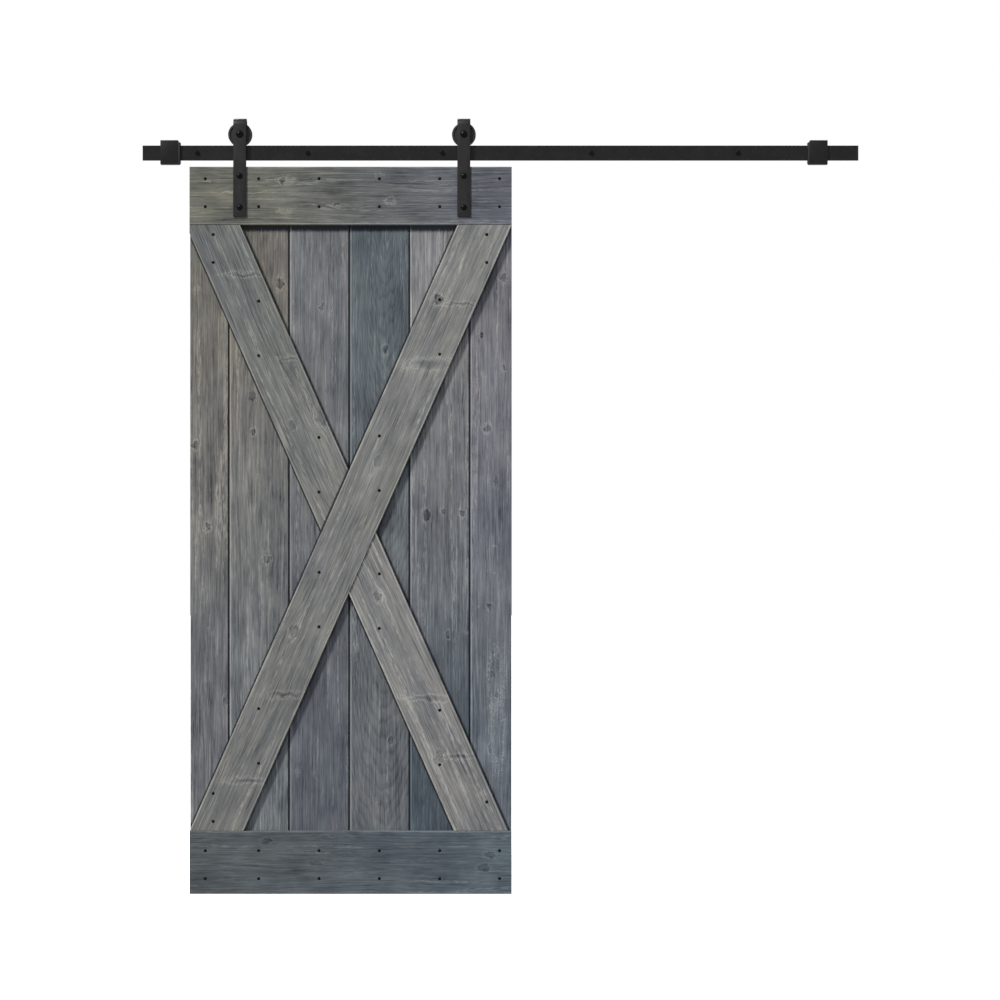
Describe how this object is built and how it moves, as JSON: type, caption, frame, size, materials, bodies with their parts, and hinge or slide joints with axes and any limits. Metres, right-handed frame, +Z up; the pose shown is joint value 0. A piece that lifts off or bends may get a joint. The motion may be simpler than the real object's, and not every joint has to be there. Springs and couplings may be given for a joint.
{
  "type": "sliding barn door",
  "caption": "Braced plank barn door hung from strap hangers whose rollers run along a flat steel wall track with end stops.",
  "frame": {"origin": "on the wall's face, at the axis of the middle wall screw of the track", "axes": "+X along the track to the viewer's right, +Y from the viewer into the wall, +Z up; the door is at rest near the track's left end"},
  "size_m": [2.102, 0.0981, 2.2761],
  "materials": {
    "track_black": "satin black powder coat on flat steel bar",
    "spacer_black": "satin black powder coat on turned steel",
    "fixing_black": "black oxide on steel",
    "bumper_rubber": "moulded black rubber",
    "roller_nylon": "turned black nylon",
    "bearing_steel": "ground bearing steel",
    "nut_zinc": "zinc-plated steel",
    "strap_charcoal": "charcoal powder coat on bent flat bar",
    "plank_wood": "grey-blue stained, weathered softwood",
    "board_wood": "grey-blue stained, weathered softwood",
    "brace_wood": "pale grey stained, weathered softwood",
    "screw_black": "black phosphated steel"
  },
  "bodies": {
    "track": {"track_rail": "track_black", "spacer_1": "spacer_black", "spacer_2": "spacer_black", "spacer_3": "spacer_black", "spacer_4": "spacer_black", "spacer_5": "spacer_black", "lag_screw_1": "fixing_black", "lag_screw_2": "fixing_black", "lag_screw_3": "fixing_black", "lag_screw_4": "fixing_black", "lag_screw_5": "fixing_black", "stop_block_left": "track_black", "stop_block_right": "track_black", "stop_bumper_left": "bumper_rubber", "stop_bumper_right": "bumper_rubber", "grub_screws_left": "fixing_black", "grub_screws_right": "fixing_black"},
    "door": {"axle_bolt_left": "fixing_black", "axle_bolt_right": "fixing_black", "strap_bolts_left": "fixing_black", "strap_bolts_right": "fixing_black", "axle_nut_left": "fixing_black", "axle_nut_right": "fixing_black", "bearing_inner_ring_left": "bearing_steel", "bearing_inner_ring_right": "bearing_steel", "hub_spacers_left": "bearing_steel", "hub_spacers_right": "bearing_steel", "sleeve_nuts_left": "nut_zinc", "sleeve_nuts_right": "nut_zinc", "hanger_strap_left": "strap_charcoal", "hanger_strap_right": "strap_charcoal", "plank_1": "plank_wood", "plank_2": "plank_wood", "plank_3": "plank_wood", "plank_4": "plank_wood", "plank_5": "plank_wood", "plank_6": "plank_wood", "top_rail_board": "board_wood", "bottom_rail_board": "board_wood", "rising_brace": "brace_wood", "falling_brace_upper": "brace_wood", "falling_brace_lower": "brace_wood", "top_board_screws": "screw_black", "bottom_board_screws": "screw_black", "brace_screws": "screw_black"},
    "left_roller": {"roller_left": "roller_nylon", "bearing_outer_ring_left": "bearing_steel", "bearing_balls_left": "bearing_steel"},
    "right_roller": {"roller_right": "roller_nylon", "bearing_outer_ring_right": "bearing_steel", "bearing_balls_right": "bearing_steel"}
  },
  "joints": [
    {"name": "door_slide", "type": "slide", "parent": "track", "child": "door", "axis": [1, 0, 0], "range_m": [-0.1489, 0.9829]},
    {"name": "left_roller_spin", "type": "hinge", "parent": "door", "child": "left_roller", "pos_m": [-0.5945, -0.036, 0.0538], "axis": [0, 1, 0], "continuous": true},
    {"name": "right_roller_spin", "type": "hinge", "parent": "door", "child": "right_roller", "pos_m": [0.0625, -0.036, 0.0538], "axis": [0, 1, 0], "continuous": true}
  ],
  "couplings": [
    {"joint": "left_roller_spin", "follows": "door_slide", "rad_per_m": 31.746},
    {"joint": "right_roller_spin", "follows": "door_slide", "rad_per_m": 31.746}
  ]
}
